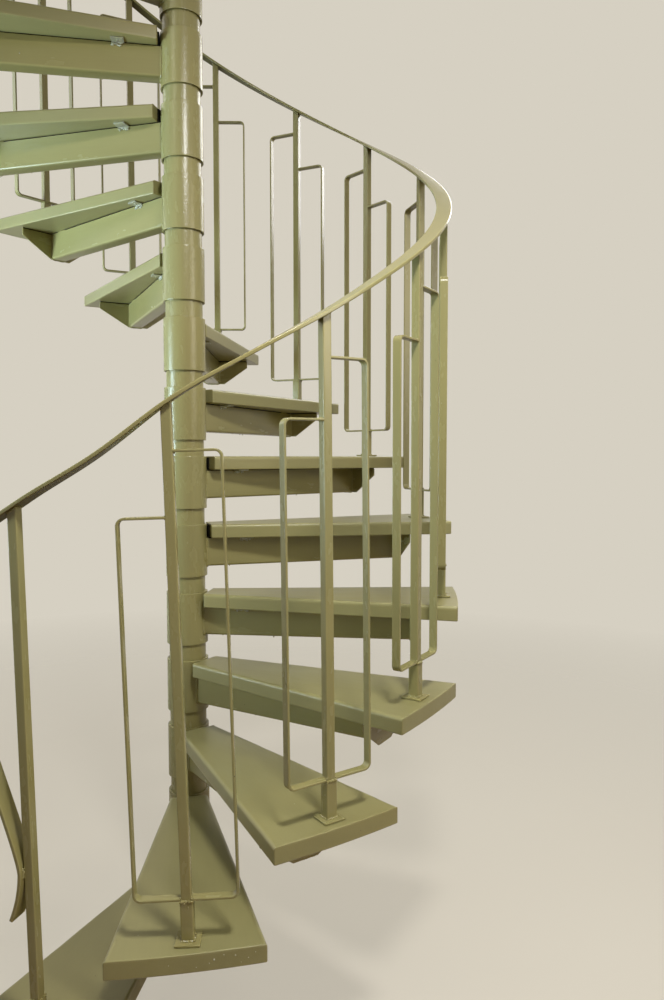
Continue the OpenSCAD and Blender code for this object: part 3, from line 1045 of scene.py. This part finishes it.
def post_weld(i):
    """Weld runs and spatter at the stub's foot and rim, at the bent bar's ends and under the rail."""
    place, tilt, at_rail = post_stance(i)
    stub = stub_height(i)
    half = POST_W / 2
    rim = STUB_W / 2
    weld = Shape(600 + i)
    draw = weld.draw
    count = weld.random.randint
    pick = weld.random.choice
    weld.bead(square_loop(STUB_W + 0.0006, FOOT_T + 0.0006), FOOT_WELD_R, lumps=0.35)
    for _ in range(count(9, 15)):
        around = square_loop(STUB_W + 0.002, FOOT_T + draw(0, 0.0025))
        weld.blob(pick(around), draw(0.0012, 0.0022))
    # The stub's upper rim carries a thick run on its outer side and a thinner one on the inner side
    for side, size in zip((1, -1), RIM_WELD_R):
        run = [(side * (half + 0.0014), y, stub + 0.0003) for y in (-rim, -0.004, 0.004, rim)]
        weld.bead(run, size, lumps=0.3)
    for _ in range(count(7, 12) + (10 if i == 2 else 0)):
        side = pick((1, 1, -1))
        at = Vector((side * (half + draw(0.001, 0.0035)), draw(-rim, rim), stub + draw(-0.0035, 0.002)))
        weld.blob(at, draw(0.0013, 0.0026))
    corner = Vector((half + 0.0012, pick((-1, 1)) * (rim - 0.001), stub))
    weld.blob(corner, draw(0.0026, 0.0042))
    for _ in range(count(1, 3)):
        at = Vector((rim - 0.0004, draw(-0.009, 0.009), stub - draw(0.004, 0.012)))
        weld.run_drop(at, draw(0.0008, 0.0014), draw(0.003, 0.008))
    bar_sides = (-1, 1) if i > 1 else ()
    for side in bar_sides:
        top = bar_top(side)
        for z in (stub + BAR_T + 0.0003, top + 0.0002, top - BAR_T - 0.0003):
            run = [(x, side * (half + 0.0004), z) for x in (-0.009, 0, 0.009)]
            weld.bead(run, BAR_WELD_R, lumps=0.3)
        for _ in range(count(2, 4)):
            at = Vector((half - draw(0, 0.003), side * (half + draw(0, 0.002)),
                         stub + BAR_T + draw(-0.001, 0.002)))
            weld.blob(at, draw(0.0016, 0.0030))
    weld.verts = [tilt @ v for v in weld.verts]
    under_rail = [at_rail(x, y, RAIL_HEIGHT - 0.0002) for x, y, _ in square_loop(POST_W, 0)]
    weld.bead(under_rail, RAIL_WELD_R, lumps=0.2)
    weld.build("post_weld_%02d" % i, steel_paint, place)


# Handrail

def bezier(p0, p1, p2, p3, t):
    return p0 * (1 - t) ** 3 + p1 * 3 * (1 - t) ** 2 * t + p2 * 3 * (1 - t) * t * t + p3 * t ** 3


def rail_path():
    """Middle line of the handrail with its width directions: tail, lower sweep, then the helix."""
    first = post_angle(1)
    radial = Vector((cos(first), sin(first), 0))
    back = Vector((sin(first), -cos(first), 0))
    # The lower sweep lies in a plane through the first post, as distance back from it and height over
    # its tread. Its spans are Bezier curves of (start, handle, handle, end) with a number of parts
    lead = Vector((cos(slope_at(0)), -sin(slope_at(0))))
    start = Vector((0, RAIL_MID + lift(0)))
    belly = Vector((0.172, 0.830))
    meet = Vector((SWEEP_FACE + RAIL_T / 2, SWEEP_MEET))
    tail = Vector((0.033, 0.226))
    spans = [((tail, tail + Vector((-0.020, 0.046)), meet - Vector((0, 0.014)), meet), 24),
             ((meet, meet + Vector((0.009, 0.073)), belly - Vector((0.008, 0.131)), belly), 60),
             ((belly, belly + Vector((0.008, 0.135)), start + lead * 0.105, start), 50)]
    flat = [bezier(*curve, k / count) for curve, count in spans for k in range(count)]
    path = [(radial * POST_REACH + back * q.x + Vector((0, 0, RISER + q.y)), radial) for q in flat]
    last = STEP_ANGLE * (TREAD_COUNT - 1) + RAIL_OVERRUN
    count = 960
    for k in range(count + 1):
        turn = last * k / count
        wide = Vector((cos(first + turn), sin(first + turn), 0))
        height = RISER + RAIL_MID + RISER * turn / STEP_ANGLE + lift(turn / STEP_ANGLE)
        path.append((wide * POST_REACH + Vector((0, 0, height)), wide))
    return path


def with_soft_ends(path, reach):
    """The path with close stations at both ends, where the bar's ends are rounded."""
    shares = (0.15, 0.4, 0.7, 1.0)
    (a, wide_a), (b, _) = path[0], path[1]
    head = [(a + (b - a).normalized() * reach * s, wide_a) for s in shares]
    (y, _), (z, wide_z) = path[-2], path[-1]
    foot = [(z + (y - z).normalized() * reach * s, wide_z) for s in reversed(shares)]
    return [path[0], *head, *path[1:-1], *foot, path[-1]]


def handrail():
    """The flat bar wound round all the posts, with its lower sweep."""
    shape = Shape(5)
    soft = 0.0016
    path = with_soft_ends(rail_path(), soft)
    stations = []
    for k, (point, wide) in enumerate(path):
        along = (path[min(k + 1, len(path) - 1)][0] - path[max(k - 1, 0)][0]).normalized()
        stations.append((point, wide, along.cross(wide).normalized()))
    shape.swept(RAIL_W, RAIL_T, 0.0019, stations, soft, 4)
    shape.build("rail_bar", rail_paint, node="handrail")


def sweep_weld():
    """Lumpy weld runs where the lower sweep lies against the first post."""
    shape = Shape(7)
    for side in (-1, 1):
        at = [Vector((side * (POST_W / 2 + 0.0006), -SWEEP_FACE - 0.0004, SWEEP_MEET + z))
              for z in (-0.010, 0.0, 0.010)]
        shape.bead(at, SWEEP_WELD_R, lumps=0.4)
        for _ in range(9):
            at = Vector((side * (POST_W / 2 + shape.draw(0, 0.0025)),
                         -SWEEP_FACE + shape.draw(-0.001, 0.002),
                         SWEEP_MEET + shape.draw(-0.010, 0.010)))
            shape.blob(at, shape.draw(0.0018, 0.0034))
    place = at_tread(1, post_angle(1)) @ moved_by((POST_REACH, 0, 0))
    shape.build("sweep_weld", rail_paint, place)


def flecks():
    """Pale specks of other paint on the outer end of the second tread."""
    shape = Shape(6)
    radius = (BOARD_OUTER_W / 2) ** 2 / (2 * BOARD_BOW)
    for v, z, size in ((0.052, -0.016, 0.0019), (0.093, -0.013, 0.0016), (0.043, -0.022, 0.0010),
                       (0.018, -0.027, 0.0008), (0.071, -0.009, 0.0009), (0.118, -0.021, 0.0010),
                       (0.132, -0.012, 0.0008), (0.104, -0.028, 0.0007), (-0.034, -0.018, 0.0008)):
        u = BOARD_REACH - v * v / (2 * radius)
        place = moved_by((u, v, z)) @ Matrix.Rotation(pi / 2, 4, "Y")
        profile = [(size, -0.001, 0), (size, 0.0, 0), (size * 0.8, 0.0005, 0), (size * 0.4, 0.0008, 0)]
        shape.turned(profile, 12, wrap=False, place=place)
    shape.build("pale_flecks", fleck_paint, at_tread(2, tread_angle(2)))


floor_plate()
column()
column_cap()
for number in range(ANCHOR_COUNT):
    anchor(number)
for number in range(1, TREAD_COUNT + 1):
    tread(number)
    bracket_frame(number)
    bracket_weld(number)
    seam(number)
    board_clips(number)
    post(number)
    post_weld(number)
handrail()
sweep_weld()
flecks()


# Studio

FLOOR_R = 14.0
FLOOR_COLOUR = srgb(240, 230, 211)
FLOOR_BOUNCE = srgb(146, 110, 60)
FLOOR_OWN = 0.6
# Distances from the column between which the floor fades into the background
FADE_RANGE = (1.6, 4.6)
BACKDROP_COLOUR = srgb(214, 208, 194)
# Strength of the soft light, and its share from below
AMBIENT = 0.17
AMBIENT_BELOW = 0.15
WARM = (1.0, 0.94, 0.82)
COOL = (0.66, 0.88, 1.0)
# The camera's place, and the degrees by which it looks down and to the right
EYE = (0.0068, -2.1920, 1.3300)
LOOK_DOWN = 3.270
LOOK_RIGHT = 10.621
LENS_MM = 27.56


def seen_directly(n):
    """1 for what the camera sees, also in a reflection or through glass, and 0 for scattered light."""
    ray = n.add("LightPath").outputs
    return n.math("MAXIMUM", ray["Is Camera Ray"], ray["Is Glossy Ray"], ray["Is Transmission Ray"])


def studio_floor():
    """Wide pale floor that fades into the background far from the object."""
    mesh = bpy.data.meshes.new("studio_floor")
    work = bmesh.new()
    bmesh.ops.create_circle(work, cap_ends=True, segments=96, radius=FLOOR_R)
    work.to_mesh(mesh)
    work.free()
    material = bpy.data.materials.new("pale_floor")
    n = Nodes(material)
    place = n.add("TexCoord").outputs["Object"]
    far = n.add("VectorMath", {"operation": "LENGTH"}, Vector=place).outputs["Value"]
    grain = n.add("TexNoise", Vector=place, Scale=3.0, Detail=4.0).outputs[0]
    tint = n.blend(grain, FLOOR_COLOUR, [c * 0.985 for c in FLOOR_COLOUR])
    # Seen directly the floor is pale, partly of its own. The light that it throws up is warm and weak
    shown = n.blend(seen_directly(n), FLOOR_BOUNCE, tint)
    lit = n.add("BsdfPrincipled", Base_Color=shown, Roughness=0.8)
    own = n.add("Emission", Color=(*BACKDROP_COLOUR, 1), Strength=1.0)
    own_share = n.math("MULTIPLY", n.add("LightPath").outputs["Is Camera Ray"], FLOOR_OWN)
    pale = n.mix(own_share, lit.outputs[0], own.outputs[0])
    clear = n.add("BsdfTransparent")
    n.finish("Material", n.mix(n.spread(far, *FADE_RANGE), pale, clear.outputs[0]))
    mesh.materials.append(material)
    add_object("studio_floor", mesh)


def world():
    """Plain pale surroundings: one level for what the camera sees, one that lights the object."""
    scene_world = bpy.data.worlds.new("studio")
    bpy.context.scene.world = scene_world
    n = Nodes(scene_world)
    shown = n.add("Background", Color=(*BACKDROP_COLOUR, 1), Strength=1.0)
    # Little of the soft light comes from below
    way = n.add("SeparateXYZ", Vector=n.add("TexCoord").outputs["Generated"])
    strength = n.spread(way.outputs["Z"], -0.10, 0.15, AMBIENT * AMBIENT_BELOW, AMBIENT)
    lit = n.add("Background", Color=(*WARM, 1), Strength=strength)
    n.finish("World", n.mix(seen_directly(n), lit.outputs[0], shown.outputs[0]))


def lamp(name, place, aim, size, watts, colour=(1, 1, 1), spread=180):
    """A disc lamp. spread is the angle of its beam in degrees."""
    data = bpy.data.lights.new(name, "AREA")
    data.color = colour
    data.spread = radians(spread)
    data.shape = "DISK"
    data.size = size
    data.energy = watts
    light = add_object(name, data)
    light.location = place
    light.rotation_euler = (Vector(aim) - Vector(place)).to_track_quat("-Z", "Y").to_euler()
    light.visible_camera = False


def camera():
    """Fitted to the photograph: eye height 1.33 m, 2.2 m in front of the column."""
    data = bpy.data.cameras.new("camera")
    data.lens = LENS_MM
    data.clip_start = 0.05
    data.clip_end = 100.0
    eye = add_object("camera", data)
    eye.location = EYE
    eye.rotation_euler = (radians(90 - LOOK_DOWN), 0.0, radians(-LOOK_RIGHT))
    bpy.context.scene.camera = eye


studio_floor()
world()
lamp("key", place=(0.42, -1.48, 2.78), aim=(0.3, -0.8, 0), size=0.32, watts=24, spread=150)
lamp("left", place=(-2.0, -0.2, 1.4), aim=(-0.45, 0.1, 1.85), size=1.0, watts=17.5, colour=COOL, spread=90)
lamp("right", place=(2.5, -2.1, 2.3), aim=(0, 0, 1.2), size=1.4, watts=24, colour=WARM)
lamp("back", place=(1.9, 1.7, 3.2), aim=(0, 0, 1.8), size=1.2, watts=24)
lamp("rear", place=(-2.9, 2.0, 3.3), aim=(0, 0, 1.4), size=2.0, watts=16)
lamp("top", place=(0, 0, 6.5), aim=(0, 0, 0), size=4.0, watts=38)
lamp("high", place=(-2.4, -2.4, 4.2), aim=(0, 0, 3.35), size=1.2, watts=1.8, colour=WARM, spread=50)
camera()
bpy.context.scene.view_settings.view_transform = "Standard"
